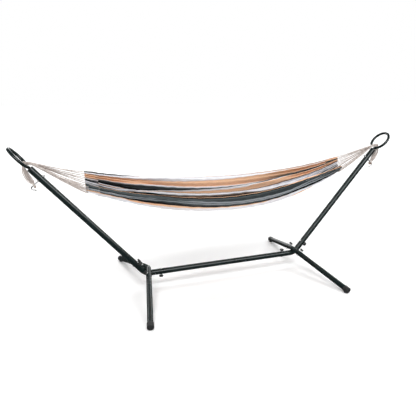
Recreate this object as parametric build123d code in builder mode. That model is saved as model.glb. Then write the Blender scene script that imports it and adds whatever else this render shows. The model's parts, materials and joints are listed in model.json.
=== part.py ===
from build123d import *
from math import atan2, cos, hypot, radians, sin, sqrt
import os

# Hammock on a steel tube stand. Millimetres, +Z up, X along the stand, origin on the floor under its centre.

# ---- main tubes ----
TUBE_R = 21.0
TUBE_WALL = 1.5
BORE_R = TUBE_R - TUBE_WALL
BAR_Z = 112.0
CORNER_X = 614.0
LEAN = 49.3
UPRIGHT_TOP = 1064.0
BAR_END_X = 565.0
UPRIGHT_START = 68.0
ELBOW_BEND_R = 90.0
NECK_R = BORE_R - 0.2
NECK_LENGTH = 88.0
NECK_BORE_R = 17.8
SEAM_GAP = 0.8

# ---- legs ----
LEG_R = 19.0
LEG_BORE_R = 17.6
CROSS_R = 17.4
CROSS_BORE_R = 15.6
CROSS_BEND_R = 60.0
CROSS_LENGTH = 185.0
APEX_X, APEX_Z = 592.0, 153.5
FOOT_X, FOOT_Y, FOOT_Z = 712.0, 580.0, 21.0
LEG_START = 64.0
CAP_R = 22.0
CAP_GRIP = 34.0
CAP_NOSE = 6.0
PAD_R = 16.0
PAD_SETBACK = 17.0

# ---- fasteners ----
BOLT_R = 3.0
BOLT_HOLE_R = 3.4
HEAD_R = 7.5
HEAD_HEIGHT = 5.0
WASHER_R = 8.0
WASHER_TOP = 5.0
KNOB_R = 15.0
KNOB_DISC = 10.0
KNOB_HUB_R = 7.5
KNOB_HUB = 5.0
KNOB_FLUTES = 12
RUNNING_GAP = 0.05
SEAT_GAP = 0.2
LEG_BOLT_AT = 87.0
BAR_BOLT_X = 500.0
UPRIGHT_BOLT_AT = 108.0
UPRIGHT_KNOB_FACES = {"left": -1, "right": 1}

# ---- ring hooks and top plugs ----
ROD_R = 10.0
RING_R = 76.0
RING_CENTRE = 84.0
CORNER_TO_RING_DATUM = 1076.4
HOOK_BEND_R = 14.0
HOOK_SHANK = 136.0
HOOK_OPEN_ANGLE = 55.0
PLUG_LENGTH = 50.0
PLUG_FLANGE = 5.0
PLUG_BORE_R = ROD_R + 1.0

# ---- anchor bolts ----
ANCHOR_AT = 979.4
ANCHOR_R = 4.0
ANCHOR_HOLE_R = 4.3
ANCHOR_INNER = 38.0
ANCHOR_OUTER = 75.0
ANCHOR_BEND_R = 10.0
ANCHOR_TURN = 120.0
ANCHOR_TIP = 24.0
FLAT_WASHER_TOP = 2.4
WING_SPAN = 15.0
WING_HEIGHT = 13.0
WING_THICK = 2.4
NUT_R = 6.5
NUT_HEIGHT = 6.0

# ---- hammock ----
CLOTH_END_X = 985.0
HEM_LENGTH = 85.0
CLOTH_THICK = 6.0
KEEL_Y = -22.0
BELLY_SHIFT_Y = -8.0
BODY_HALF_WIDTH = 320.0
END_HALF_WIDTH = 46.0
FAR_RIM_Z = (727.0, 873.0)
NEAR_RIM_Z = (709.0, 802.0)
KEEL_Z = (536.0, 757.0)
CLOTH_STATIONS = 6
CORD_R = 1.7
CORD_PITCH = 4.2
NECK_CORD_R = 10.2
NECK_INNER_X = 1296.0
CORD_FAN_Y = 3.3
CORD_FAN_Z = 6.1
CORD_SINK = 1.0
TAIL_R = 9.0
TAIL_GAP = 0.4
EYE_RING_R = 13.0
EYE_CORD_R = 4.5
EYE_AT = 58.0
WHIPPING_R = 7.5
WHIPPING_ARC = 120.0

os.makedirs("parts", exist_ok=True)
SIDES = {"left": -1, "right": 1}
DEPTHS = {"front": -1, "back": 1}


def save(piece, name):
    piece.part.label = name
    export_step(piece.part, f"parts/{name}.step")


# ---- the shared geometry of each side ----
def up_axis(side):
    return Vector(side * cos(radians(LEAN)), 0, sin(radians(LEAN)))


def out_axis(side):
    return Vector(side * sin(radians(LEAN)), 0, -cos(radians(LEAN)))


def on_upright(side, along):
    return Vector(side * CORNER_X, 0, BAR_Z) + up_axis(side) * along


def ring_plane(side, along):
    up = up_axis(side)
    return Plane(origin=on_upright(side, along), x_dir=(0, 1, 0), z_dir=(up.Z, 0, -up.X))


def leg_axis(side, depth):
    run = Vector(side * (FOOT_X - APEX_X), depth * FOOT_Y, FOOT_Z - APEX_Z)
    return run.normalized()


def leg_normal(side):
    return leg_axis(side, -1).cross(leg_axis(side, 1)).normalized() * side


def on_leg(side, depth, along):
    return Vector(side * APEX_X, 0, APEX_Z) + leg_axis(side, depth) * along


def elbow_line(side, bar_x, upright_along):
    return FilletPolyline(
        (side * bar_x, 0, BAR_Z),
        (side * CORNER_X, 0, BAR_Z),
        on_upright(side, upright_along),
        radius=ELBOW_BEND_R,
    )


# Each hand-tightened bolt: a plane on the tube's axis whose Z points to the knob, and the tube's radius.
bolt_seats = {
    "left_base_bar": (Plane((-BAR_BOLT_X, 0, BAR_Z), x_dir=(1, 0, 0), z_dir=(0, 0, -1)), TUBE_R),
    "right_base_bar": (Plane((BAR_BOLT_X, 0, BAR_Z), x_dir=(1, 0, 0), z_dir=(0, 0, 1)), TUBE_R),
}
for hand, side in SIDES.items():
    knob_way = out_axis(side) * UPRIGHT_KNOB_FACES[hand]
    seat = Plane(on_upright(side, UPRIGHT_BOLT_AT), x_dir=(0, 1, 0), z_dir=knob_way)
    bolt_seats[f"{hand}_upright"] = (seat, TUBE_R)
    for end, depth in DEPTHS.items():
        centre = on_leg(side, depth, LEG_BOLT_AT)
        seat = Plane(centre, x_dir=leg_axis(side, depth), z_dir=leg_normal(side))
        bolt_seats[f"{hand}_{end}_leg"] = (seat, LEG_R)


def bolt_holes(names):
    for name in names:
        with BuildSketch(bolt_seats[name][0]) as hole:
            Circle(BOLT_HOLE_R)
        extrude(hole.sketch, amount=2 * TUBE_R, both=True, mode=Mode.SUBTRACT)


# ---- base bar ----
with BuildPart() as base_bar:
    with BuildSketch(Plane.YZ):
        with Locations((0, BAR_Z)):
            Circle(TUBE_R)
            Circle(BORE_R, mode=Mode.SUBTRACT)
    extrude(amount=BAR_END_X - SEAM_GAP, both=True)
    bolt_holes(["left_base_bar", "right_base_bar"])
save(base_bar, "base_bar")


def make_elbow(hand, side):
    with BuildPart() as elbow:
        with BuildLine() as body_line:
            elbow_line(side, BAR_END_X, UPRIGHT_START)
        with BuildSketch(Plane((side * BAR_END_X, 0, BAR_Z), z_dir=(side, 0, 0))):
            Circle(TUBE_R)
        sweep(path=body_line.wires()[0])
        with BuildSketch(Plane((side * (BAR_END_X - NECK_LENGTH), 0, BAR_Z), z_dir=(side, 0, 0))):
            Circle(NECK_R)
        extrude(amount=NECK_LENGTH)
        with BuildSketch(Plane(on_upright(side, UPRIGHT_START), z_dir=up_axis(side))):
            Circle(NECK_R)
        extrude(amount=NECK_LENGTH)
        with BuildLine() as bore_line:
            elbow_line(side, BAR_END_X - NECK_LENGTH, UPRIGHT_START + NECK_LENGTH)
        with BuildSketch(Plane((side * (BAR_END_X - NECK_LENGTH), 0, BAR_Z), z_dir=(side, 0, 0))):
            Circle(NECK_BORE_R)
        sweep(path=bore_line.wires()[0], mode=Mode.SUBTRACT)
        bolt_holes([f"{hand}_base_bar", f"{hand}_upright"])
    save(elbow, f"{hand}_elbow")


def make_foot_crosspiece(hand, side):
    """The V tube that the legs slide over, coped to sit in the crook of the elbow."""
    front_end = on_leg(side, -1, CROSS_LENGTH)
    with BuildPart() as crosspiece:
        with BuildLine() as v_line:
            FilletPolyline(
                front_end,
                (side * APEX_X, 0, APEX_Z),
                on_leg(side, 1, CROSS_LENGTH),
                radius=CROSS_BEND_R,
            )
        with BuildSketch(Plane(front_end, z_dir=-leg_axis(side, -1))):
            Circle(CROSS_R)
            Circle(CROSS_BORE_R, mode=Mode.SUBTRACT)
        sweep(path=v_line.wires()[0])
        with BuildLine() as cope_line:
            elbow_line(side, BAR_END_X - NECK_LENGTH, UPRIGHT_START + NECK_LENGTH)
        with BuildSketch(Plane((side * (BAR_END_X - NECK_LENGTH), 0, BAR_Z), z_dir=(side, 0, 0))):
            Circle(TUBE_R)
        sweep(path=cope_line.wires()[0], mode=Mode.SUBTRACT)
        bolt_holes([f"{hand}_front_leg", f"{hand}_back_leg"])
    save(crosspiece, f"{hand}_foot_crosspiece")


def make_leg(hand, side, end, depth):
    axis = leg_axis(side, depth)
    length = on_leg(side, depth, 0).sub(Vector(side * FOOT_X, depth * FOOT_Y, FOOT_Z)).length
    with BuildPart() as leg:
        with BuildSketch(Plane(on_leg(side, depth, LEG_START), z_dir=axis)):
            Circle(LEG_R)
            Circle(LEG_BORE_R, mode=Mode.SUBTRACT)
        extrude(amount=length - LEG_START)
        bolt_holes([f"{hand}_{end}_leg"])
    save(leg, f"{hand}_{end}_leg")
    make_foot_cap(f"{hand}_{end}", side, depth, length)


def make_foot_cap(name, side, depth, leg_length):
    axis = leg_axis(side, depth)
    pad = on_leg(side, depth, leg_length - PAD_SETBACK)
    with BuildPart() as cap:
        with BuildSketch(Plane(on_leg(side, depth, leg_length - CAP_GRIP), z_dir=axis)):
            Circle(CAP_R)
        extrude(amount=CAP_GRIP + CAP_NOSE)
        nose = cap.faces().sort_by(Axis(on_leg(side, depth, 0), axis))[-1]
        fillet(nose.edges(), CAP_NOSE / 2)
        with BuildSketch(Plane((pad.X, pad.Y, 0))):
            Circle(PAD_R)
        extrude(amount=pad.Z)
        with BuildSketch(Plane(on_leg(side, depth, leg_length - CAP_GRIP), z_dir=axis)):
            Circle(LEG_R)
        extrude(amount=CAP_GRIP, mode=Mode.SUBTRACT)
        split(bisect_by=Plane.XY)
    save(cap, f"{name}_foot_cap")


def make_upright(hand, side):
    with BuildPart() as upright:
        with BuildSketch(Plane(on_upright(side, UPRIGHT_START + SEAM_GAP), z_dir=up_axis(side))):
            Circle(TUBE_R)
            Circle(BORE_R, mode=Mode.SUBTRACT)
        extrude(amount=UPRIGHT_TOP - UPRIGHT_START - SEAM_GAP)
        bolt_holes([f"{hand}_upright"])
        with BuildSketch(Plane(on_upright(side, ANCHOR_AT), z_dir=out_axis(side))):
            Circle(ANCHOR_HOLE_R)
        extrude(amount=2 * TUBE_R, both=True, mode=Mode.SUBTRACT)
    save(upright, f"{hand}_upright")


def make_top_plug(hand, side):
    with BuildPart() as plug:
        with BuildSketch(Plane(on_upright(side, UPRIGHT_TOP - PLUG_LENGTH), z_dir=up_axis(side))):
            Circle(BORE_R - 0.1)
        extrude(amount=PLUG_LENGTH)
        with BuildSketch(Plane(on_upright(side, UPRIGHT_TOP), z_dir=up_axis(side))):
            Circle(TUBE_R)
        extrude(amount=PLUG_FLANGE)
        top = plug.faces().sort_by(Axis(on_upright(side, 0), up_axis(side)))[-1]
        fillet(top.edges(), PLUG_FLANGE / 3)
        with BuildSketch(Plane(on_upright(side, UPRIGHT_TOP - PLUG_LENGTH), z_dir=up_axis(side))):
            Circle(PLUG_BORE_R)
        extrude(amount=PLUG_LENGTH + PLUG_FLANGE, mode=Mode.SUBTRACT)
    save(plug, f"{hand}_top_plug")


def make_hook(hand, side):
    """Ring hook in the plane of the upright and the Y axis. Its shank bends to the front into the ring,
    and the ring goes up and over to a free end at the back."""
    plane = ring_plane(side, CORNER_TO_RING_DATUM)
    reach = RING_R + HOOK_BEND_R
    bend_y = -HOOK_BEND_R
    bend_s = RING_CENTRE - sqrt(reach**2 - HOOK_BEND_R**2)
    join_y = bend_y * RING_R / reach
    join_s = RING_CENTRE + (bend_s - RING_CENTRE) * RING_R / reach
    turn = atan2(join_s - bend_s, join_y - bend_y)
    mid_y = bend_y + HOOK_BEND_R * cos(turn / 2)
    mid_s = bend_s + HOOK_BEND_R * sin(turn / 2)
    tip = radians(HOOK_OPEN_ANGLE)
    tip_y = RING_R * sin(tip)
    tip_s = RING_CENTRE - RING_R * cos(tip)
    with BuildPart() as hook:
        with BuildLine(plane) as rod_line:
            Line((0, -HOOK_SHANK), (0, bend_s))
            ThreePointArc((0, bend_s), (mid_y, mid_s), (join_y, join_s))
            ThreePointArc((join_y, join_s), (-RING_R, RING_CENTRE), (0, RING_CENTRE + RING_R))
            ThreePointArc((0, RING_CENTRE + RING_R), (RING_R, RING_CENTRE), (tip_y, tip_s))
        shank_end = on_upright(side, CORNER_TO_RING_DATUM - HOOK_SHANK)
        with BuildSketch(Plane(shank_end, z_dir=up_axis(side))):
            Circle(ROD_R)
        sweep(path=rod_line.wires()[0])
        with Locations(plane.from_local_coords((tip_y, tip_s, 0))):
            Sphere(ROD_R)
        with BuildSketch(Plane(on_upright(side, ANCHOR_AT), z_dir=out_axis(side))):
            Circle(ANCHOR_HOLE_R)
        extrude(amount=2 * ROD_R, both=True, mode=Mode.SUBTRACT)
    save(hook, f"{hand}_hook")


def anchor_plane(side):
    """X points outward from the upright along the bolt, and Y runs down the upright."""
    down = up_axis(side) * -1
    out = out_axis(side)
    return Plane(on_upright(side, ANCHOR_AT), x_dir=out, z_dir=out.cross(down))


def make_anchor(hand, side):
    plane = anchor_plane(side)
    outward = out_axis(side)
    with BuildPart() as bolt:
        with BuildLine(plane) as bolt_line:
            Line((-ANCHOR_INNER, 0), (ANCHOR_OUTER, 0))
            bend = JernArc((ANCHOR_OUTER, 0), (1, 0), ANCHOR_BEND_R, ANCHOR_TURN)
            PolarLine(bend @ 1, ANCHOR_TIP, ANCHOR_TURN)
        with BuildSketch(Plane(plane.from_local_coords((-ANCHOR_INNER, 0, 0)), z_dir=outward)):
            Circle(ANCHOR_R)
        sweep(path=bolt_line.wires()[0])
    save(bolt, f"{hand}_anchor_bolt")

    with BuildPart() as washers:
        for facing in (-1, 1):
            with BuildSketch(Plane(on_upright(side, ANCHOR_AT), z_dir=outward * facing)):
                Circle(WASHER_R + 1)
            extrude(amount=TUBE_R + FLAT_WASHER_TOP)
        with BuildSketch(Plane(on_upright(side, ANCHOR_AT - WASHER_R * 2), z_dir=up_axis(side))):
            Circle(TUBE_R)
        extrude(amount=WASHER_R * 4, mode=Mode.SUBTRACT)
        with BuildSketch(Plane(on_upright(side, ANCHOR_AT), z_dir=outward)):
            Circle(ANCHOR_R + 0.2)
        extrude(amount=2 * TUBE_R, both=True, mode=Mode.SUBTRACT)
    save(washers, f"{hand}_anchor_washers")

    nut_base = Plane(on_upright(side, ANCHOR_AT), x_dir=(0, 1, 0), z_dir=outward * -1)
    nut_base = nut_base.offset(TUBE_R + FLAT_WASHER_TOP + SEAT_GAP)
    wings = Plane(nut_base.origin, x_dir=(0, 1, 0), z_dir=nut_base.z_dir.cross(Vector(0, 1, 0)) * -1)
    with BuildPart() as wing_nut:
        with BuildSketch(nut_base):
            Circle(NUT_R)
        extrude(amount=NUT_HEIGHT, taper=8)
        with BuildSketch(wings):
            with BuildLine():
                Polyline(
                    (0, 0.6),
                    (NUT_R - 1, 0.6),
                    (WING_SPAN, WING_HEIGHT - 4),
                    (WING_SPAN - 1, WING_HEIGHT),
                    (WING_SPAN - 5, WING_HEIGHT),
                    (NUT_R - 2, NUT_HEIGHT - 1),
                    (0, NUT_HEIGHT - 1),
                    close=True,
                )
            make_face()
            mirror(about=Plane.YZ)
        extrude(amount=WING_THICK / 2, both=True)
        with BuildSketch(nut_base.offset(-1)):
            Circle(ANCHOR_R + RUNNING_GAP)
        extrude(amount=WING_HEIGHT + 2, mode=Mode.SUBTRACT)
    save(wing_nut, f"{hand}_anchor_wing_nut")


for hand, side in SIDES.items():
    make_elbow(hand, side)
    make_foot_crosspiece(hand, side)
    make_upright(hand, side)
    make_top_plug(hand, side)
    make_hook(hand, side)
    make_anchor(hand, side)
    for end, depth in DEPTHS.items():
        make_leg(hand, side, end, depth)


# ---- bolts, saddle washers and hand knobs ----
def seat_cylinder(seat, radius, low, high, mode=Mode.ADD):
    with BuildSketch(seat.offset(low)) as disc:
        Circle(radius)
    extrude(disc.sketch, amount=high - low, mode=mode)


def cut_tube_shape(seat, tube_r):
    """Cuts a tube's outside away, so that what is left sits on it like a saddle."""
    along = seat.x_dir if abs(seat.x_dir.Y) < 0.99 else seat.z_dir.cross(seat.x_dir)
    start = seat.origin - along * (2 * WASHER_R)
    with BuildSketch(Plane(start, z_dir=along)) as tube:
        Circle(tube_r)
    extrude(tube.sketch, amount=4 * WASHER_R, mode=Mode.SUBTRACT)


def make_fasteners(group, names):
    with BuildPart() as bolts:
        for name in names:
            seat, tube_r = bolt_seats[name]
            head = Plane(seat.origin, x_dir=seat.x_dir, z_dir=seat.z_dir * -1)
            head_top = tube_r + HEAD_HEIGHT
            seat_cylinder(head, HEAD_R, tube_r - 2, head_top)
            own_faces = bolts.faces().filter_by(lambda f: (f.center() - seat.origin).length < 2 * TUBE_R)
            dome = own_faces.sort_by(Axis(seat.origin, head.z_dir))[-1]
            fillet(dome.edges(), HEAD_HEIGHT / 2)
            cut_tube_shape(seat, tube_r)
            seat_cylinder(seat, BOLT_R, -(tube_r + 1), tube_r + WASHER_TOP + KNOB_HUB + KNOB_DISC / 2)
    save(bolts, f"{group}_bolts")

    with BuildPart() as washers:
        for name in names:
            seat, tube_r = bolt_seats[name]
            seat_cylinder(seat, WASHER_R, tube_r - 3, tube_r + WASHER_TOP)
            cut_tube_shape(seat, tube_r)
            seat_cylinder(seat, BOLT_R + 0.2, 0, 2 * tube_r, Mode.SUBTRACT)
    save(washers, f"{group}_washers")

    for name in names:
        make_knob(name)


def make_knob(name):
    seat, tube_r = bolt_seats[name]
    foot = tube_r + WASHER_TOP + SEAT_GAP
    disc = foot + KNOB_HUB
    bolt_tip = tube_r + WASHER_TOP + KNOB_HUB + KNOB_DISC / 2
    with BuildPart() as knob:
        seat_cylinder(seat, KNOB_HUB_R, foot, disc)
        seat_cylinder(seat, KNOB_R, disc, disc + KNOB_DISC)
        rims = knob.edges().filter_by(lambda e: e.geom_type == GeomType.CIRCLE and e.radius > KNOB_R - 1)
        fillet(rims, KNOB_DISC / 4)
        with BuildSketch(seat.offset(disc)):
            with PolarLocations(KNOB_R + 1.2, KNOB_FLUTES):
                Circle(2.4)
        extrude(amount=KNOB_DISC, mode=Mode.SUBTRACT)
        seat_cylinder(seat, BOLT_R + RUNNING_GAP, foot - 1, bolt_tip + 1, Mode.SUBTRACT)
    save(knob, f"{name}_knob")


make_fasteners("base_bar", [f"{hand}_base_bar" for hand in SIDES])
make_fasteners("upright", [f"{hand}_upright" for hand in SIDES])
make_fasteners("leg", [f"{hand}_{end}_leg" for hand in SIDES for end in DEPTHS])


# ---- hammock cloth: a trough that narrows and rises towards both ends ----
def blend_to_end(pair, t, power):
    return pair[0] + (pair[1] - pair[0]) * t**power


def section_points(x):
    """The outside of the cloth at x: near rim, belly, keel, belly, far rim, as (y, z)."""
    t = min(1, abs(x) / CLOTH_END_X)
    half = blend_to_end((BODY_HALF_WIDTH, END_HALF_WIDTH), t, 1.6)
    keel_y = KEEL_Y * (1 - t)
    shift = BELLY_SHIFT_Y * (1 - t)
    keel = blend_to_end(KEEL_Z, t, 2.05)
    near = blend_to_end(NEAR_RIM_Z, t, 1.85)
    far = blend_to_end(FAR_RIM_Z, t, 2.0)
    return [
        (-half + shift, near),
        (-0.74 * half + 0.26 * keel_y, near + 0.52 * (keel - near)),
        (-0.36 * half + 0.64 * keel_y, near + 0.88 * (keel - near)),
        (keel_y, keel),
        (0.36 * half + 0.64 * keel_y, far + 0.88 * (keel - far)),
        (0.74 * half + 0.26 * keel_y, far + 0.52 * (keel - far)),
        (half + shift, far),
    ]


def inset(points, thickness):
    """The same open line moved inwards, to its left, by the thickness."""
    moved = []
    for index, (y, z) in enumerate(points):
        before = points[max(index - 1, 0)]
        after = points[min(index + 1, len(points) - 1)]
        run = hypot(after[0] - before[0], after[1] - before[1])
        shift_y = -thickness * (after[1] - before[1]) / run
        shift_z = thickness * (after[0] - before[0]) / run
        moved.append((y + shift_y, z + shift_z))
    return moved


with BuildPart() as hammock_cloth:
    cloth_span = CLOTH_END_X - HEM_LENGTH
    for index in range(-CLOTH_STATIONS, CLOTH_STATIONS + 1):
        x = cloth_span * index / CLOTH_STATIONS
        outside = section_points(x)
        inside = inset(outside, CLOTH_THICK)
        with BuildSketch(Plane.YZ.offset(x)):
            with BuildLine():
                Polyline(*outside, *reversed(inside), close=True)
            make_face()
    loft(ruled=True)
save(hammock_cloth, "hammock_cloth")


def make_end_hem(hand, side):
    """The doubled end band, gathered into one closed bunch."""
    with BuildPart() as hem:
        for x in (CLOTH_END_X - HEM_LENGTH, CLOTH_END_X):
            outside = section_points(x)
            with BuildSketch(Plane.YZ.offset(side * x)):
                with BuildLine():
                    Polyline(*outside, close=True)
                make_face()
        loft(ruled=True)
    save(hem, f"{hand}_end_hem")


# ---- clew cords, their neck in the ring, and the tail outside it ----
RING_FOOT = on_upright(1, CORNER_TO_RING_DATUM + RING_CENTRE - RING_R)
PIVOT_Z = RING_FOOT.Z + ROD_R + NECK_CORD_R + 0.6
NECK_OUTER_X = RING_FOOT.X + 10.5
HEM_CENTRE_Z = (FAR_RIM_Z[1] + KEEL_Z[1]) / 2


def bundle_places():
    """One cord in the middle, six round it and twelve round those, turned so that no two are level."""
    places = [(0.0, 0.0)]
    for shell, count in ((1, 6), (2, 12)):
        for index in range(count):
            corner = index // shell
            step = index % shell
            a = radians(60 * corner + 12)
            b = radians(60 * (corner + 2) + 12)
            y = CORD_PITCH * (shell * cos(a) + step * cos(b))
            z = CORD_PITCH * (shell * sin(a) + step * sin(b))
            places.append((y, z))
    return places


def make_clew(hand, side):
    with BuildPart() as cords:
        for y, z in bundle_places():
            start = Vector(side * (NECK_INNER_X + CORD_SINK), y, PIVOT_Z + z)
            hem = Vector(side * (CLOTH_END_X - CORD_SINK), CORD_FAN_Y * y, HEM_CENTRE_Z + CORD_FAN_Z * z)
            with BuildSketch(Plane(start, z_dir=hem - start)):
                Circle(CORD_R)
            extrude(amount=(hem - start).length)
    save(cords, f"{hand}_clew_cords")

    with BuildPart() as neck:
        with BuildSketch(Plane((side * NECK_INNER_X, 0, PIVOT_Z), z_dir=(side, 0, 0))):
            Circle(NECK_CORD_R)
        extrude(amount=NECK_OUTER_X - NECK_INNER_X)
    save(neck, f"{hand}_clew_neck")


def make_tail(hand, side):
    """The gathered cords outside the ring: over the rod, down, and into an eye on the anchor bolt."""
    eye = on_upright(side, ANCHOR_AT) + out_axis(side) * EYE_AT
    start = Vector(side * (NECK_OUTER_X + TAIL_GAP), 0, PIVOT_Z)
    rod_x = RING_FOOT.X + ROD_R + TAIL_R
    brow = Vector(side * (rod_x + 6), 0, PIVOT_Z - 1)
    plug_edge = Vector(side * (rod_x + 1), 0, PIVOT_Z - 41)
    pull = (plug_edge - eye).normalized()
    with BuildPart() as tail:
        with BuildLine() as tail_line:
            FilletPolyline(start, brow, plug_edge, eye + pull * EYE_RING_R, radius=[9.5, 40])
        with BuildSketch(Plane(start, z_dir=(side, 0, 0))):
            Circle(TAIL_R)
        sweep(path=tail_line.wires()[0])
        with BuildLine(Plane(eye, x_dir=(0, 1, 0), z_dir=Vector(0, 1, 0).cross(pull))) as eye_line:
            CenterArc((0, 0), EYE_RING_R, 0, 360)
        with BuildSketch(Plane(eye + Vector(0, EYE_RING_R, 0), x_dir=(0, 1, 0), z_dir=pull)):
            Circle(EYE_CORD_R)
        sweep(path=eye_line.wires()[0])
    save(tail, f"{hand}_rope_tail")

    with BuildPart() as whipping:
        with BuildLine(Plane(eye, x_dir=(0, 1, 0), z_dir=Vector(0, 1, 0).cross(pull))) as whipping_line:
            CenterArc((0, 0), EYE_RING_R, 270 - WHIPPING_ARC / 2, WHIPPING_ARC)
        whipping_path = whipping_line.wires()[0]
        with BuildSketch(Plane(whipping_path @ 0, z_dir=whipping_path % 0)):
            Circle(WHIPPING_R)
            Circle(EYE_CORD_R, mode=Mode.SUBTRACT)
        sweep(path=whipping_path)
    save(whipping, f"{hand}_tail_whipping")


for hand, side in SIDES.items():
    make_end_hem(hand, side)
    make_clew(hand, side)
    make_tail(hand, side)
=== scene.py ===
import json
import math
import random

import bpy
import numpy as np
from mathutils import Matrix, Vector


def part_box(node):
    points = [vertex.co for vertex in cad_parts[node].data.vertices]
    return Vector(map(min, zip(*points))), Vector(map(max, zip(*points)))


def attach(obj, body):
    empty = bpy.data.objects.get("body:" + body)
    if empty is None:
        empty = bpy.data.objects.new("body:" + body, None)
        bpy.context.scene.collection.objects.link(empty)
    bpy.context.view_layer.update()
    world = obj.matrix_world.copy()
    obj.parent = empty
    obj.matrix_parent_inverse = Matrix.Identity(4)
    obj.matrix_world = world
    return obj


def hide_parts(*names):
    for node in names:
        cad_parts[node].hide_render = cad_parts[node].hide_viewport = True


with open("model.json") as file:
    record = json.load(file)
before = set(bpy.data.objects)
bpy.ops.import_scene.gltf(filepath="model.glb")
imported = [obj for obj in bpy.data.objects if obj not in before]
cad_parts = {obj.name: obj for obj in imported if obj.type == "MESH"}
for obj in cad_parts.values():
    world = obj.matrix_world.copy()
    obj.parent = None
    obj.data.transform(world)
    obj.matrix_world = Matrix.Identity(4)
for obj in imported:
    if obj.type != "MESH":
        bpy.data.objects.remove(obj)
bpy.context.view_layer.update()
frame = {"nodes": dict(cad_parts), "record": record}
random.seed(7)
SIDES = {"left": -1, "right": 1}


# ---- materials ----
class Shader:
    """A node material with short calls for what the materials here share."""

    def __init__(self, name, roughness=0.5, metallic=0.0, specular=0.5, sheen=0.0):
        self.material = bpy.data.materials.new(name)
        self.material.use_nodes = True
        self.tree = self.material.node_tree
        self.bsdf = self.tree.nodes["Principled BSDF"]
        self.bsdf.inputs["Roughness"].default_value = roughness
        self.bsdf.inputs["Metallic"].default_value = metallic
        self.bsdf.inputs["Specular IOR Level"].default_value = specular
        self.bsdf.inputs["Sheen Weight"].default_value = sheen

    def node(self, kind, **settings):
        made = self.tree.nodes.new(kind)
        for name, value in settings.items():
            setattr(made, name, value)
        return made

    def link(self, source, target):
        self.tree.links.new(source, target)
        return target

    def noise(self, vector, scale, detail=3.0, roughness=0.5):
        made = self.node("ShaderNodeTexNoise")
        made.inputs["Scale"].default_value = scale
        made.inputs["Detail"].default_value = detail
        made.inputs["Roughness"].default_value = roughness
        self.link(vector, made.inputs["Vector"])
        return made.outputs["Fac"]

    def stretch(self, vector, factors):
        made = self.node("ShaderNodeVectorMath", operation="MULTIPLY")
        self.link(vector, made.inputs[0])
        made.inputs[1].default_value = factors
        return made.outputs["Vector"]

    def ramp(self, value, stops, interpolation="LINEAR"):
        made = self.node("ShaderNodeValToRGB")
        made.color_ramp.interpolation = interpolation
        elements = made.color_ramp.elements
        while len(elements) < len(stops):
            elements.new(0.5)
        for element, (place, colour) in zip(elements, stops):
            element.position = place
            element.color = (*colour, 1.0) if len(colour) == 3 else colour
        self.link(value, made.inputs["Fac"])
        return made.outputs["Color"]

    def span(self, value, low, high):
        made = self.node("ShaderNodeMapRange")
        made.inputs["To Min"].default_value = low
        made.inputs["To Max"].default_value = high
        self.link(value, made.inputs["Value"])
        return made.outputs["Result"]

    def mix(self, factor, a, b, blend="MIX"):
        made = self.node("ShaderNodeMix", data_type="RGBA", blend_type=blend)
        if isinstance(factor, float):
            made.inputs["Factor"].default_value = factor
        else:
            self.link(factor, made.inputs["Factor"])
        for socket, colour in ((made.inputs[6], a), (made.inputs[7], b)):
            if isinstance(colour, tuple):
                socket.default_value = (*colour, 1.0)
            else:
                self.link(colour, socket)
        return made.outputs[2]

    def math(self, operation, a, b):
        made = self.node("ShaderNodeMath", operation=operation)
        for socket, value in zip(made.inputs, (a, b)):
            if isinstance(value, (int, float)):
                socket.default_value = value
            else:
                self.link(value, socket)
        return made.outputs[0]

    def colour(self, output):
        self.link(output, self.bsdf.inputs["Base Color"])

    def roughness(self, output):
        self.link(output, self.bsdf.inputs["Roughness"])

    def bump(self, height, strength, distance):
        made = self.node("ShaderNodeBump")
        made.inputs["Strength"].default_value = strength
        made.inputs["Distance"].default_value = distance
        self.link(height, made.inputs["Height"])
        self.link(made.outputs["Normal"], self.bsdf.inputs["Normal"])

    def object_space(self):
        return self.node("ShaderNodeTexCoord").outputs["Object"]

    def uv(self):
        return self.node("ShaderNodeTexCoord").outputs["UV"]


def gloss_paint():
    """Black powder coat with a green tint, faint orange peel and a few dull patches."""
    s = Shader("black_gloss_paint", specular=0.38)
    place = s.object_space()
    cloud = s.noise(place, 14.0, 4.0)
    s.colour(s.ramp(cloud, [(0.3, (0.005, 0.011, 0.011)), (0.75, (0.010, 0.019, 0.019))]))
    s.roughness(s.span(s.noise(place, 55.0, 5.0), 0.17, 0.28))
    s.bump(s.noise(place, 620.0, 2.0), 0.12, 0.0006)
    return s.material


def zinc_plate():
    """Bright zinc plate, patchy in tone, with fine lines across it."""
    s = Shader("zinc_plate", metallic=1.0)
    place = s.object_space()
    s.colour(s.ramp(s.noise(place, 160.0, 3.0), [(0.3, (0.46, 0.47, 0.48)), (0.7, (0.74, 0.74, 0.73))]))
    s.roughness(s.span(s.noise(place, 420.0, 4.0), 0.22, 0.42))
    s.bump(s.noise(s.stretch(place, (1.0, 1.0, 6.0)), 900.0, 2.0), 0.15, 0.0002)
    return s.material


def moulded_plastic():
    """Black plastic with a fine moulded grain."""
    s = Shader("moulded_black_plastic", specular=0.4)
    place = s.object_space()
    cloud = s.noise(place, 90.0, 3.0)
    s.colour(s.ramp(cloud, [(0.3, (0.014, 0.015, 0.015)), (0.8, (0.028, 0.029, 0.030))]))
    s.roughness(s.span(s.noise(place, 300.0, 3.0), 0.42, 0.60))
    s.bump(s.noise(place, 2400.0, 2.0), 0.25, 0.0003)
    return s.material


# Yarn colours. Black and brown also serve as painted shade in some stripe rows, and the lilac is partly
# painted shade.
YARNS = {
    "white": (0.88, 0.88, 0.92),
    "grey": (0.42, 0.45, 0.48),
    # The lilac is a faint pinkish stripe on white, greyed down as painted shade of the back wall's inner
    # face.
    "lilac_stripe_and_shade": (0.70, 0.64, 0.64),
    "tan": (0.90, 0.555, 0.355),
    "brown": (0.17, 0.085, 0.045),
    "charcoal": (0.068, 0.082, 0.086),
    "black": (0.004, 0.005, 0.006),
}
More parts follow.
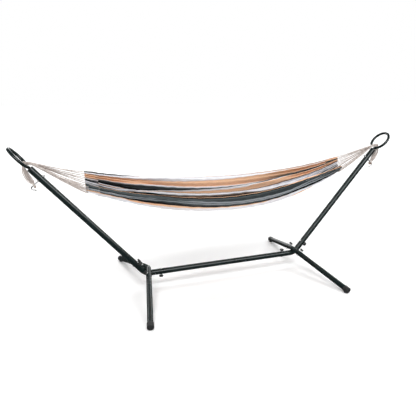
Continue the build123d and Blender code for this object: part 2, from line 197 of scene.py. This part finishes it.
# Warp stripes from the front edge to the back edge, and among them some bands of painted shade in yarn
# colours.
# Each row is a yarn colour and where its stripe starts, as a share of the cloth's width, at each x of
# STRIPE_AT:
# the bunched cloth carries its stripes a little aslant. The first and last columns are for the hems, and
# the main column is the one that the material's own stripes follow. The stripes deep in the trough run
# straight.
STRIPE_AT = (-0.95, -0.78, -0.45, 0.25, 0.65, 0.95)
MAIN_COLUMN = 3
FRONT_STRIPES = [
    ("tan", 0.000, 0.000, 0.000, 0.000, 0.000, 0.000),
    ("brown", 0.0004, 0.0004, 0.0004, 0.0005, 0.010, 0.012),
    # This black band at the front rim is painted shade: the dark of the trough's inside seen just over the
    # rim.
    ("black", 0.0015, 0.0015, 0.0015, 0.002, 0.015, 0.016),
    ("charcoal", 0.008, 0.008, 0.014, 0.012, 0.020, 0.020),
    ("grey", 0.016, 0.016, 0.022, 0.022, 0.028, 0.028),
    ("charcoal", 0.019, 0.019, 0.024, 0.024, 0.030, 0.030),
    # This black band is painted shade: the shadow inside the fold below the front rim.
    ("black", 0.022, 0.022, 0.044, 0.046, 0.046, 0.046),
    ("grey", 0.056, 0.060, 0.062, 0.062, 0.062, 0.056),
    ("charcoal", 0.062, 0.064, 0.066, 0.066, 0.066, 0.066),
    ("white", 0.071, 0.073, 0.084, 0.085, 0.085, 0.083),
    ("charcoal", 0.086, 0.086, 0.087, 0.087, 0.087, 0.087),
    ("grey", 0.110, 0.114, 0.104, 0.104, 0.108, 0.108),
    ("charcoal", 0.124, 0.124, 0.111, 0.112, 0.113, 0.113),
    ("grey", 0.128, 0.128, 0.117, 0.117, 0.121, 0.121),
    ("charcoal", 0.133, 0.133, 0.123, 0.126, 0.127, 0.127),
    ("black", 0.138, 0.138, 0.130, 0.172, 0.138, 0.138),
    ("tan", 0.176, 0.178, 0.185, 0.194, 0.206, 0.206),
    ("white", 0.205, 0.212, 0.272, 0.288, 0.208, 0.208),
] + [
    (yarn, *[place] * len(STRIPE_AT))
    for yarn, place in (
        ("grey", 0.352),
        ("white", 0.366),
        ("tan", 0.400),
        ("charcoal", 0.445),
        ("white", 0.500),
        ("tan", 0.535),
        ("charcoal", 0.575),
        ("white", 0.610),
    )
]
BACK_STRIPES = [
    # These black and dark brown bands low on the back wall are painted shade: the shadowed bottom of the
    # trough just above the front rim.
    ("black", 0.640, 0.640, 0.652, 0.655, 0.636, 0.636),
    ("brown", 0.645, 0.652, 0.730, 0.736, 0.638, 0.638),
    ("charcoal", 0.648, 0.656, 0.738, 0.748, 0.640, 0.640),
    ("grey", 0.652, 0.662, 0.762, 0.756, 0.642, 0.642),
    ("white", 0.656, 0.667, 0.778, 0.764, 0.648, 0.648),
    ("brown", 0.698, 0.720, 0.800, 0.778, 0.778, 0.784),
    ("tan", 0.702, 0.724, 0.802, 0.781, 0.781, 0.787),
    ("white", 0.722, 0.729, 0.805, 0.806, 0.850, 0.858),
    ("black", 0.727, 0.737, 0.810, 0.824, 0.853, 0.868),
    ("charcoal", 0.740, 0.790, 0.814, 0.828, 0.856, 0.872),
    ("grey", 0.744, 0.826, 0.832, 0.834, 0.882, 0.912),
    # This lilac band is partly a pinkish stripe and partly painted shade on white cloth.
    ("lilac_stripe_and_shade", 0.748, 0.832, 0.848, 0.846, 0.886, 0.915),
    ("tan", 0.796, 0.841, 0.886, 0.876, 0.890, 0.919),
    # This lilac band near the back edge is partly a pinkish stripe and partly painted shade on white cloth.
    ("lilac_stripe_and_shade", 0.930, 0.934, 0.925, 0.940, 0.950, 0.960),
    ("white", 0.940, 0.946, 0.938, 0.947, 0.955, 0.964),
    ("tan", 0.962, 0.971, 0.998, 0.990, 0.966, 0.970),
    ("white", 0.964, 0.974, 1.004, 0.996, 0.986, 0.990),
    ("black", 0.966, 0.976, 1.012, 1.020, 1.030, 1.030),
]
BACK_FROM = 0.655
STRIPE_SPAN = 1.05


def striped_cotton():
    """Woven stripes with some bands of painted shade among them, for a UV map of metres along the flat cloth
    and the main column's share of its width.
    """
    s = Shader("striped_cotton", roughness=0.9, specular=0.1, sheen=0.05)
    flat = s.uv()
    parts = s.node("ShaderNodeSeparateXYZ")
    s.link(flat, parts.inputs["Vector"])
    waver = s.span(s.noise(s.stretch(flat, (5.0, 40.0, 1.0)), 1.0, 2.0), -0.0012, 0.0012)
    across = s.math("ADD", parts.outputs["Y"], waver)
    share = s.math("DIVIDE", across, STRIPE_SPAN)
    front, back = (
        s.ramp(share, [(row[1 + MAIN_COLUMN] / STRIPE_SPAN, YARNS[row[0]]) for row in rows], "CONSTANT")
        for rows in (FRONT_STRIPES, BACK_STRIPES)
    )
    base = s.mix(s.math("GREATER_THAN", across, BACK_FROM), front, back)
    threads = s.noise(s.stretch(flat, (18.0, 900.0, 1.0)), 1.0, 2.0)
    slubs = s.noise(s.stretch(flat, (60.0, 420.0, 1.0)), 1.0, 3.0)
    shade = s.ramp(threads, [(0.3, (0.72, 0.72, 0.72)), (0.7, (1.12, 1.12, 1.12))])
    woven = s.mix(1.0, base, shade, "MULTIPLY")
    heather = s.ramp(slubs, [(0.58, (0.0, 0.0, 0.0)), (0.72, (0.018, 0.019, 0.020))])
    s.colour(s.mix(1.0, woven, heather, "ADD"))
    warp = s.node("ShaderNodeTexWave", bands_direction="Y")
    warp.inputs["Scale"].default_value = 150.0
    weft = s.node("ShaderNodeTexWave", bands_direction="X")
    weft.inputs["Scale"].default_value = 110.0
    for wave in (warp, weft):
        wave.inputs["Distortion"].default_value = 0.6
        s.link(flat, wave.inputs["Vector"])
    grid = s.math("MULTIPLY", warp.outputs["Fac"], weft.outputs["Fac"])
    s.bump(s.math("ADD", grid, slubs), 0.35, 0.0008)
    return s.material


def cotton_cord():
    """Undyed cotton, patchy in tone, with fine fibres."""
    s = Shader("cotton_cord", roughness=0.92, specular=0.1, sheen=0.1)
    place = s.object_space()
    cloud = s.noise(place, 70.0, 4.0)
    s.colour(s.ramp(cloud, [(0.3, (0.42, 0.355, 0.325)), (0.7, (0.74, 0.675, 0.635))]))
    s.bump(s.noise(s.stretch(place, (3.0, 1.0, 1.0)), 1500.0, 3.0), 0.5, 0.0005)
    return s.material


def wound_twine():
    """Brown twine with coarse fibres."""
    s = Shader("wound_twine", roughness=0.9, specular=0.12, sheen=0.2)
    place = s.object_space()
    cloud = s.noise(place, 220.0, 4.0)
    s.colour(s.ramp(cloud, [(0.3, (0.15, 0.085, 0.05)), (0.7, (0.34, 0.22, 0.14))]))
    s.bump(s.noise(place, 1800.0, 3.0), 0.5, 0.0004)
    return s.material


MATERIALS = {
    "black_gloss_paint": gloss_paint(),
    "zinc": zinc_plate(),
    "black_plastic": moulded_plastic(),
    "striped_cotton": striped_cotton(),
    "cotton_cord": cotton_cord(),
    "brown_whipping": wound_twine(),
}
for row in frame["record"]["subparts"]:
    node = frame["nodes"][row["node"]]
    node.data.materials.clear()
    node.data.materials.append(MATERIALS[row["material_slot"]])


# ---- small mesh helpers ----
CURVE_STEPS = 24
LOBE_DEPTH = 0.20


def make_piece(name, points, faces, slot, body):
    """A smooth mesh in the slot's material that rides the body."""
    mesh = bpy.data.meshes.new(name)
    mesh.from_pydata([tuple(p) for p in points], [], [tuple(int(i) for i in f) for f in faces])
    mesh.validate()
    mesh.shade_smooth()
    piece = bpy.data.objects.new(name, mesh)
    bpy.context.scene.collection.objects.link(piece)
    mesh.materials.append(MATERIALS[slot])
    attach(piece, body)
    return piece


def run_lengths(line):
    """How far along the line each of its points is."""
    return np.concatenate([[0], np.cumsum(np.linalg.norm(np.diff(line, axis=0), axis=1))])


def rows_at(places, far, rows):
    """The rows, given at those distances along a line, read at other places along it."""
    return np.column_stack([np.interp(places, far, column) for column in rows.T])


def smooth_line(points, step):
    """Points every step along a Catmull-Rom curve through the given ones."""
    p = np.array(points, float)
    p = np.vstack([2 * p[0] - p[1], p, 2 * p[-1] - p[-2]])
    fine = []
    for i in range(1, len(p) - 2):
        a, b, c, d = p[i - 1 : i + 3]
        bend = 2 * a - 5 * b + 4 * c - d
        twist = 3 * b - a - 3 * c + d
        for t in np.linspace(0, 1, CURVE_STEPS, endpoint=False):
            fine.append(0.5 * (2 * b + (c - a) * t + bend * t**2 + twist * t**3))
    fine.append(p[-2])
    fine = np.array(fine)
    far = run_lengths(fine)
    count = max(3, int(round(far[-1] / step)) + 1)
    return rows_at(np.linspace(0, far[-1], count), far, fine)


def frames_along(line):
    """Two cross directions carried along the line without twist."""
    tangents = np.gradient(line, axis=0)
    tangents /= np.linalg.norm(tangents, axis=1)[:, None]
    side = np.cross(tangents[0], (0.0, 0.0, 1.0))
    if np.linalg.norm(side) < 0.1:
        side = np.cross(tangents[0], (0.0, 1.0, 0.0))
    sides = []
    for t in tangents:
        side = side - t * (side @ t)
        side = side / np.linalg.norm(side)
        sides.append(side)
    sides = np.array(sides)
    return sides, np.cross(tangents, sides)


def rope(lines, radius, lay_length, strands=3, ring=12):
    """Points and faces of laid ropes along the lines: each has its strands' lobes turning along it.

    The radius is one number for all, or a list with an array for each line.
    """
    points, faces = [], []
    angles = np.arange(ring) * 2 * math.pi / ring
    sizes = radius if isinstance(radius, list) else [np.full(len(line), radius) for line in lines]
    for line, radii in zip(lines, sizes):
        right, up = frames_along(line)
        start = len(points)
        for centre, r, u, s, size in zip(line, right, up, run_lengths(line), radii):
            turn = 2 * math.pi * s / lay_length
            lobes = size * (1 - LOBE_DEPTH + LOBE_DEPTH * np.abs(np.cos(strands / 2 * (angles - turn))))
            for a, reach in zip(angles, lobes):
                points.append(centre + r * math.cos(a) * reach + u * math.sin(a) * reach)
        rows = len(line)
        for i in range(rows - 1):
            for j in range(ring):
                k = (j + 1) % ring
                a = start + i * ring
                faces.append((a + j, a + k, a + ring + k, a + ring + j))
        faces.append([start + j for j in reversed(range(ring))])
        faces.append([start + (rows - 1) * ring + j for j in range(ring)])
    return points, faces


# ---- the hammock's cloth ----
FLAT_WIDTH = 0.90
FLAT_LENGTH = 2.04
CLOTH_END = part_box("right_end_hem")[1].x
HEM_DEPTH = CLOTH_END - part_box("right_end_hem")[0].x
ACROSS = 286
ALONG = 200
PLEATS = 19
FOLDS = 7
CLOTH_THICK = 0.0013
CLOTH_INSET = 0.004
HEM_LIFT = 0.0022
HEM_ROWS = 16
SECTION_STEPS = 600
SECTION_FULLNESS = 0.85
PLEATS_FROM = 0.38
EDGE_FADE = 0.035
DEEPEST_FOLD = 0.035
HALVINGS = 30
# The unfolded section at some places: x, half width, back rim z, front rim z, keel z.
STATIONS = np.array([
    (-0.985, 0.046, 0.879, 0.801, 0.749),
    (-0.660, 0.176, 0.805, 0.739, 0.636),
    (-0.330, 0.272, 0.743, 0.705, 0.576),
    (0.000, 0.320, 0.726, 0.711, 0.549),
    (0.330, 0.272, 0.739, 0.734, 0.560),
    (0.660, 0.176, 0.783, 0.773, 0.634),
    (0.985, 0.046, 0.876, 0.799, 0.762),
])
CURVES = [np.polyfit(STATIONS[:, 0], STATIONS[:, k], 4) for k in range(1, 5)]
SHIFT_Y = -0.006


def smoothstep(t):
    t = np.clip(t, 0, 1)
    return t * t * (3 - 2 * t)


def section(x, shares):
    """The unfolded section at x: points (y, z) at those shares of its length, and normals out and down."""
    half, back, front, keel = (np.polyval(curve, x) for curve in CURVES)
    s = np.sin(np.linspace(-math.pi / 2, math.pi / 2, SECTION_STEPS))
    depth = np.clip(1 - s**2, 0, 1) ** SECTION_FULLNESS
    rim = front + (back - front) * (s + 1) / 2
    y = half * s + SHIFT_Y * (1 - abs(x) / CLOTH_END)
    z = rim * (1 - depth) + keel * depth
    outline = np.column_stack([y, z])
    far = run_lengths(outline)
    line = rows_at(shares * far[-1], far, outline)
    along = np.gradient(line, axis=0)
    along /= np.linalg.norm(along, axis=1)[:, None]
    return line, np.column_stack([along[:, 1], -along[:, 0]])


def fold_wave(x, shares):
    """How the cloth folds across its width at x: a few soft folds in the middle, even pleats at the hems."""
    turns = 2 * math.pi * shares
    uneven = turns + 2 * math.pi * (0.018 * np.sin(2 * turns + 1.1) + 0.011 * np.sin(5 * turns + 4.0))
    soft = np.sin(FOLDS * uneven + 0.7 * math.sin(1.9 * x + 0.6))
    soft = soft + 0.35 * np.sin(2.3 * FOLDS * uneven + 1.6 * x)
    pleat = np.sin(PLEATS * turns - math.pi / 2)
    near_hem = smoothstep((abs(x) - PLEATS_FROM) / (CLOTH_END - PLEATS_FROM)) ** 0.8
    edges = smoothstep(shares / EDGE_FADE) * smoothstep((1 - shares) / EDGE_FADE)
    return ((1 - near_hem) * soft + near_hem * pleat) * edges


def folded_section(x, shares):
    """The section with folds just deep enough to take up the cloth's full width."""
    line, normals = section(x, shares)
    wave = fold_wave(x, shares)[:, None]

    def length(depth):
        run = np.diff(line + normals * (wave - 1) * depth, axis=0)
        return np.hypot(run[:, 0], run[:, 1]).sum()

    low, high = 0.0, DEEPEST_FOLD
    for _ in range(HALVINGS):
        middle = (low + high) / 2
        if length(middle) < FLAT_WIDTH:
            low = middle
        else:
            high = middle
    return line + normals * (wave - 1) * low


def cloth_surface(xs, shares):
    """A grid of points over the folded cloth, with fine creases."""
    rows = []
    for x in xs:
        line = folded_section(x, shares)
        crease = 0.0011 * np.sin(31 * x + 40 * shares) * np.sin(17 * x - 63 * shares + 1.0)
        crease += 0.0007 * np.sin(77 * x + 9 * shares + 2.0)
        rows.append(np.column_stack([np.full(len(shares), x), line[:, 0], line[:, 1] + crease]))
    return np.array(rows)


def surface_normals(grid):
    """The unit normal at each point of a grid."""
    along = np.gradient(grid, axis=0)
    across = np.gradient(grid, axis=1)
    normal = np.cross(along, across)
    return normal / np.linalg.norm(normal, axis=2)[..., None]


def grid_faces(rows, columns, start=0, flip=False):
    """The quads of a grid whose points begin at start."""
    faces = []
    for i in range(rows - 1):
        for j in range(columns - 1):
            a = start + i * columns + j
            quad = (a, a + 1, a + columns + 1, a + columns)
            faces.append(quad[::-1] if flip else quad)
    return faces


def flat_uv(piece, coordinates):
    """Writes the flat cloth's own metres, along and across, as the piece's UV map."""
    layer = piece.data.uv_layers.new(name="flat_cloth")
    loops = np.zeros(len(piece.data.loops), int)
    piece.data.loops.foreach_get("vertex_index", loops)
    layer.data.foreach_set("uv", coordinates[loops].astype(np.float32).ravel())


def stripe_places(x):
    """Where each stripe starts at x."""
    rows = np.array([row[1:] for row in FRONT_STRIPES + BACK_STRIPES])
    return np.array([np.interp(x, STRIPE_AT, row) for row in rows])


def cloth_coordinates(xs, shares, hem=0):
    """The UV rows of points at xs and shares. A hem, on side -1 or 1, has one column's stripes throughout."""
    main = np.append([row[1 + MAIN_COLUMN] for row in FRONT_STRIPES + BACK_STRIPES], STRIPE_SPAN)
    rows = []
    for x in xs:
        inside = np.clip(x, STRIPE_AT[1], STRIPE_AT[-2])
        places = np.append(stripe_places(STRIPE_AT[-1] * hem if hem else inside), STRIPE_SPAN)
        along = np.full(len(shares), x * FLAT_LENGTH / (2 * CLOTH_END))
        rows.append(np.column_stack([along, np.interp(shares, places, main)]))
    return np.vstack(rows)


def make_cloth():
    """The cloth: one folded sheet from hem to hem."""
    inner_end = CLOTH_END - CLOTH_INSET
    xs = np.linspace(-inner_end, inner_end, ALONG)
    shares = np.linspace(0, 1, ACROSS)
    points = cloth_surface(xs, shares).reshape(-1, 3)
    cloth = make_piece("striped_cloth", points, grid_faces(ALONG, ACROSS), "striped_cotton", "hammock")
    flat_uv(cloth, cloth_coordinates(xs, shares))
    shell = cloth.modifiers.new("thickness", "SOLIDIFY")
    shell.thickness = CLOTH_THICK
    shell.offset = 0.0
    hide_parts("hammock_cloth")
    return cloth


def make_end_hem(hand, side):
    """The cloth turned back on itself at its end: one closed shell round the end of the cloth."""
    xs = np.linspace(CLOTH_END - HEM_DEPTH, CLOTH_END, HEM_ROWS) * side
    shares = np.linspace(0, 1, ACROSS)
    grid = cloth_surface(xs, shares)
    lift = surface_normals(grid) * HEM_LIFT
    rows, columns = HEM_ROWS, ACROSS
    count = rows * columns
    points = np.vstack([(grid + lift).reshape(-1, 3), (grid - lift).reshape(-1, 3)])
    faces = grid_faces(rows, columns) + grid_faces(rows, columns, count, flip=True)
    rim = [i * columns for i in range(rows)] + [(rows - 1) * columns + j for j in range(1, columns)]
    rim += [i * columns + columns - 1 for i in range(rows - 2, -1, -1)] + list(range(columns - 2, 0, -1))
    for a, b in zip(rim, rim[1:] + rim[:1]):
        faces.append((a, b, b + count, a + count))
    hem = make_piece(f"{hand}_hem_band", points, faces, "striped_cotton", "hammock")
    coordinates = cloth_coordinates(xs, shares, hem=side)
    flat_uv(hem, np.vstack([coordinates, coordinates]))
    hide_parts(f"{hand}_end_hem")
    return hem


STITCH_R = 0.00045
STITCH_LENGTH = 0.0030
STITCH_PITCH = 0.0046
STITCH_INSETS = (0.004, 0.010)
STITCH_LINE_STEPS = 1000


def make_stitches(hand, side):
    """Two rows of stitches through the hem, seen on both faces of the cloth."""
    shares = np.linspace(0.006, 0.994, STITCH_LINE_STEPS)
    lines = []
    for inset in STITCH_INSETS:
        x = side * (CLOTH_END - HEM_DEPTH + inset)
        rows = cloth_surface([x - 0.001, x, x + 0.001], shares)
        normal = surface_normals(rows)[1]
        for face in (-1, 1):
            path = rows[1] + normal * face * (HEM_LIFT + STITCH_R * 0.5)
            far = run_lengths(path)
            for start in np.arange(0.002, far[-1] - STITCH_LENGTH, STITCH_PITCH):
                places = start + np.array([0.0, 0.5, 1.0]) * STITCH_LENGTH
                lines.append(rows_at(places, far, path))
    points, faces = rope(lines, STITCH_R, 1.0, strands=2, ring=5)
    make_piece(f"{hand}_hem_stitches", points, faces, "cotton_cord", "hammock")


cloth = make_cloth()
hems = [make_end_hem(hand, side) for hand, side in SIDES.items()]


# ---- clew cords ----
CORD_R = 0.0021
BUNDLE_PITCH = 0.0043
CORD_LAY = 0.012
CLEW_STEP = 0.0035
CLEW_START = 0.020
CLEW_CREST_AT = 0.012
CLEW_SAG = (0.002, 0.012)
CLEW_STRAY = 0.004
TAIL_STEP = 0.003
TAIL_STRAY = 0.003
TAIL_SLACK = (-0.002, 0.004)
# The cords open up a little between the hem and the neck, over these lengths at the two ends.
LOOSE_CORD_R = 0.0029
HEM_TAPER = 0.05
NECK_TAPER = 0.12


def bundle_places():
    """One cord in the middle, six round it and twelve round those."""
    places = [(0.0, 0.0)]
    for shell, count in ((1, 6), (2, 12)):
        for index in range(count):
            corner, step = divmod(index, shell)
            a = math.radians(60 * corner + 12)
            b = math.radians(60 * (corner + 2) + 12)
            y = BUNDLE_PITCH * (shell * math.cos(a) + step * math.cos(b))
            z = BUNDLE_PITCH * (shell * math.sin(a) + step * math.sin(b))
            places.append((y, z))
    return places


def matched(starts, ends):
    """An order of the ends that crosses the fewest cords: pairs swap while that shortens the whole."""
    order = list(range(len(ends)))
    a = starts - starts.mean(axis=0)
    b = ends - ends.mean(axis=0)
    a = a / np.abs(a).max(axis=0)
    b = b / np.abs(b).max(axis=0)
    changed = True
    while changed:
        changed = False
        for i in range(len(order)):
            for j in range(i):
                now = ((a[i] - b[order[i]]) ** 2).sum() + ((a[j] - b[order[j]]) ** 2).sum()
                then = ((a[i] - b[order[j]]) ** 2).sum() + ((a[j] - b[order[i]]) ** 2).sum()
                if then < now - 1e-9:
                    order[i], order[j] = order[j], order[i]
                    changed = True
    return order


def make_clew(hand, side):
    """The cords of one end: each leaves a pleat's crest, sags a little and joins the bundle in the ring."""
    neck_low, neck_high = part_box(f"{hand}_clew_neck")
    middle_z = (neck_low.z + neck_high.z) / 2
    inner_x = min(abs(neck_low.x), abs(neck_high.x))
    outer_x = max(abs(neck_low.x), abs(neck_high.x))
    shares = (np.arange(PLEATS) + 0.5) / PLEATS
    crest = folded_section(side * (CLOTH_END - CLEW_CREST_AT), np.linspace(0, 1, ACROSS))
    picked = crest[(shares * (ACROSS - 1)).round().astype(int)]
    places = np.array(bundle_places())
    order = matched(picked, places)
    lines, radii = [], []
    for (y, z), place in zip(picked, order):
        end_y, end_z = places[place]
        sag = random.uniform(*CLEW_SAG)
        stray = random.uniform(-CLEW_STRAY, CLEW_STRAY)
        middle = np.array([CLOTH_END * 0.55 + inner_x * 0.45, y * 0.52 + end_y * 0.48 + stray, 0])
        middle[2] = z * 0.55 + (middle_z + end_z) * 0.45 - sag
        points = [
            (CLOTH_END - CLEW_START, y, z),
            (CLOTH_END + 0.010, y * 0.985, z + 0.003),
            middle,
            (inner_x - 0.012, end_y * 1.15, middle_z + end_z - 0.009),
            (inner_x + 0.010, end_y, middle_z + end_z - 0.001),
            (outer_x, end_y, middle_z + end_z),
        ]
        line = smooth_line(points, CLEW_STEP)
        from_hem = (line[:, 0] - CLOTH_END) / HEM_TAPER
        from_neck = (inner_x - line[:, 0]) / NECK_TAPER
        loose = np.clip(np.minimum(from_hem, from_neck), 0, 1)
        radii.append(CORD_R + (LOOSE_CORD_R - CORD_R) * loose)
        line[:, 0] *= side
        lines.append(line)
    points, faces = rope(lines, radii, CORD_LAY)
    clew = make_piece(f"{hand}_clew_strands", points, faces, "cotton_cord", "hammock")
    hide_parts(f"{hand}_clew_cords", f"{hand}_clew_neck")


# ---- rope tails outside the rings ----
# The tail's route from the ring down to its eye, outward from the stand's middle and up, with the
# bundle's half width and half depth there, as shares of its tight size in the ring.
TAIL_ROUTE = [
    (1.3320, 0.9549, 1.0, 1.0),
    (1.3461, 0.9539, 1.3, 1.0),
    (1.3431, 0.9139, 1.9, 0.9),
    (1.3345, 0.8880, 2.0, 1.3),
    (1.3215, 0.8600, 1.8, 1.5),
    (1.3075, 0.8390, 1.3, 1.2),
]
EYE_X, EYE_Z = 1.2967, 0.8167
EYE_R = 0.013
EYE_PULL = np.array([0.407, 0.0, 0.914])
LEVEL = np.array([0.0, 1.0, 0.0])
# The way of the bundle's depth where it lies over the rod and where it hangs below it.
OVER_ROD = np.array([0.0, 0.0, 1.0])
BELOW_ROD = np.array([1.0, 0.0, -0.35])
WHIPPING_R = 0.0068
TWINE_R = 0.0009
TWINE_PITCH = 0.0019
TWINE_STEPS = 18


def eye_line(side, half, start, end, count):
    """Points round the eye and directions outward, on its +Y or -Y half, by the angle from its top."""
    angles = np.radians(np.linspace(start, end, count))
    pull = EYE_PULL * (side, 1, 1)
    outward = pull * np.cos(angles)[:, None] + LEVEL * half * np.sin(angles)[:, None]
    return np.array([EYE_X * side, 0, EYE_Z]) + outward * EYE_R, outward


def make_tail(hand, side):
    """The ends of the clew's cords: a loose bundle from the ring, parted round the bolt at its end."""
    lines = []
    for number, (y, z) in enumerate(bundle_places()):
        half = 1 if y > 0 or (y == 0 and number % 2) else -1
        stray = [random.uniform(-1, 1) * TAIL_STRAY for _ in range(2)]
        slack = random.uniform(*TAIL_SLACK)
        points = []
        for step, (x, height, wide, deep) in enumerate(TAIL_ROUTE):
            loose = min(step, 2) / 2
            over = y * wide + stray[0] * loose
            out = z * deep + (stray[1] + slack) * loose
            fall = OVER_ROD if step < 2 else BELOW_ROD
            points.append(np.array([x, 0, height]) + LEVEL * over + fall * out)
        points = [p * (side, 1, 1) for p in points]
        ring, outward = eye_line(side, half, 55, 150, 4)
        across = np.array([EYE_PULL[2] * side, 0, -EYE_PULL[0]])
        points += list(ring + outward * (abs(y) - 0.004) * 0.35 + across * z * 0.45)
        lines.append(smooth_line(points, TAIL_STEP))
    points, faces = rope(lines, CORD_R, CORD_LAY)
    tail = make_piece(f"{hand}_tail_strands", points, faces, "cotton_cord", "stand")
    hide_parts(f"{hand}_rope_tail")


def make_whipping(hand, side):
    """Twine wound round the lower half of the eye, a little thinner at both its ends."""
    ring, _ = eye_line(side, 1, 118, 242, 60)
    right, up = frames_along(ring)
    far = run_lengths(ring)
    places = np.linspace(0, far[-1], int(far[-1] / TWINE_PITCH * TWINE_STEPS))
    angles = places / TWINE_PITCH * 2 * math.pi
    core, r, u = (rows_at(places, far, rows) for rows in (ring, right, up))
    reach = WHIPPING_R * (1 - 0.10 * np.cos(math.pi * places / far[-1]) ** 6) - TWINE_R
    coil = core + r * (np.cos(angles) * reach)[:, None] + u * (np.sin(angles) * reach)[:, None]
    points, faces = rope([coil], TWINE_R, 0.004, strands=2, ring=8)
    twine = make_piece(f"{hand}_whipping_twine", points, faces, "brown_whipping", "stand")
    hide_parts(f"{hand}_tail_whipping")


for hand, side in SIDES.items():
    make_stitches(hand, side)
    make_clew(hand, side)
    make_tail(hand, side)
    make_whipping(hand, side)


# ---- stage, light and camera ----
FLOOR_GLOW = 0.14
FLOOR_REACH = 40.0
WORLD_IN_GLOSS = 0.08


def make_floor():
    """A pale floor that glows a little, so that it meets the background without a line."""
    s = Shader("pale_floor", roughness=0.8, specular=0.1)
    cloud = s.noise(s.object_space(), 0.6, 2.0)
    s.colour(s.ramp(cloud, [(0.3, (0.93, 0.93, 0.93)), (0.7, (0.94, 0.94, 0.94))]))
    s.bsdf.inputs["Emission Color"].default_value = (1.0, 1.0, 1.0, 1.0)
    s.bsdf.inputs["Emission Strength"].default_value = FLOOR_GLOW
    mesh = bpy.data.meshes.new("studio_floor")
    corners = [(-FLOOR_REACH, -FLOOR_REACH, 0), (FLOOR_REACH, -FLOOR_REACH, 0)]
    corners += [(FLOOR_REACH, FLOOR_REACH, 0), (-FLOOR_REACH, FLOOR_REACH, 0)]
    mesh.from_pydata(corners, [], [(0, 1, 2, 3)])
    floor = bpy.data.objects.new("studio_floor", mesh)
    bpy.context.scene.collection.objects.link(floor)
    mesh.materials.append(s.material)
    floor.visible_glossy = False


def sun(name, place, strength, spread):
    """A soft lamp that shines from that direction and is not seen in gloss."""
    light = bpy.data.lights.new(name, "SUN")
    light.energy = strength
    light.angle = math.radians(spread)
    lamp = bpy.data.objects.new(name, light)
    lamp.rotation_euler = Vector(place).to_track_quat("Z", "Y").to_euler()
    lamp.visible_glossy = False
    bpy.context.scene.collection.objects.link(lamp)


def reflector(name, place, target, size, power):
    """A large panel that only shows in gloss, as the streaks along the tubes."""
    light = bpy.data.lights.new(name, "AREA")
    light.shape = "RECTANGLE"
    light.size, light.size_y = size
    light.energy = power
    lamp = bpy.data.objects.new(name, light)
    lamp.location = place
    lamp.rotation_euler = (Vector(target) - Vector(place)).to_track_quat("-Z", "Y").to_euler()
    lamp.visible_diffuse = False
    lamp.visible_camera = False
    bpy.context.scene.collection.objects.link(lamp)


def make_world():
    """White to the camera, dimmer to what stands in it and dimmest in gloss, so that the paint stays dark."""
    world = bpy.data.worlds.new("studio")
    world.use_nodes = True
    tree = world.node_tree
    background = tree.nodes["Background"]
    rays = tree.nodes.new("ShaderNodeLightPath")
    strength = None
    for kind, share in (("Is Camera Ray", 0.92), ("Is Diffuse Ray", 0.20)):
        step = tree.nodes.new("ShaderNodeMath")
        step.operation = "MULTIPLY_ADD"
        tree.links.new(rays.outputs[kind], step.inputs[0])
        step.inputs[1].default_value = share
        step.inputs[2].default_value = WORLD_IN_GLOSS
        if strength:
            tree.links.new(strength, step.inputs[2])
        strength = step.outputs[0]
    tree.links.new(strength, background.inputs["Strength"])
    background.inputs["Color"].default_value = (1.0, 1.0, 1.0, 1.0)
    bpy.context.scene.world = world


CAMERA_PLACE = (-1.1604, -2.8234, 1.3883)
CAMERA_YAW = 19.97
CAMERA_PITCH = 15.46
LENS = 36.75
SENSOR = 36.0


def make_camera():
    camera_data = bpy.data.cameras.new("camera")
    camera_data.lens = LENS
    camera_data.sensor_width = SENSOR
    camera = bpy.data.objects.new("camera", camera_data)
    camera.location = CAMERA_PLACE
    camera.rotation_euler = (math.radians(90 - CAMERA_PITCH), 0, math.radians(-CAMERA_YAW))
    bpy.context.scene.collection.objects.link(camera)
    bpy.context.scene.camera = camera


make_floor()
make_world()
sun("key", (-1.2, -2.2, 3.2), 1.6, 30)
sun("fill", (2.0, -1.2, 2.6), 0.9, 30)
sun("top", (0.3, 1.4, 3.4), 1.3, 40)
reflector("front_panel", (0.4, -3.2, 2.5), (0.0, 0.0, 0.4), (9.0, 1.2), 330)
reflector("back_panel", (0.4, 3.0, 2.2), (0.0, 0.0, 0.4), (9.0, 1.0), 130)
reflector("low_panel", (1.3, 3.6, 0.5), (0.66, 0.3, 0.1), (2.4, 0.8), 8)
make_camera()
bpy.context.scene.view_settings.view_transform = "Standard"
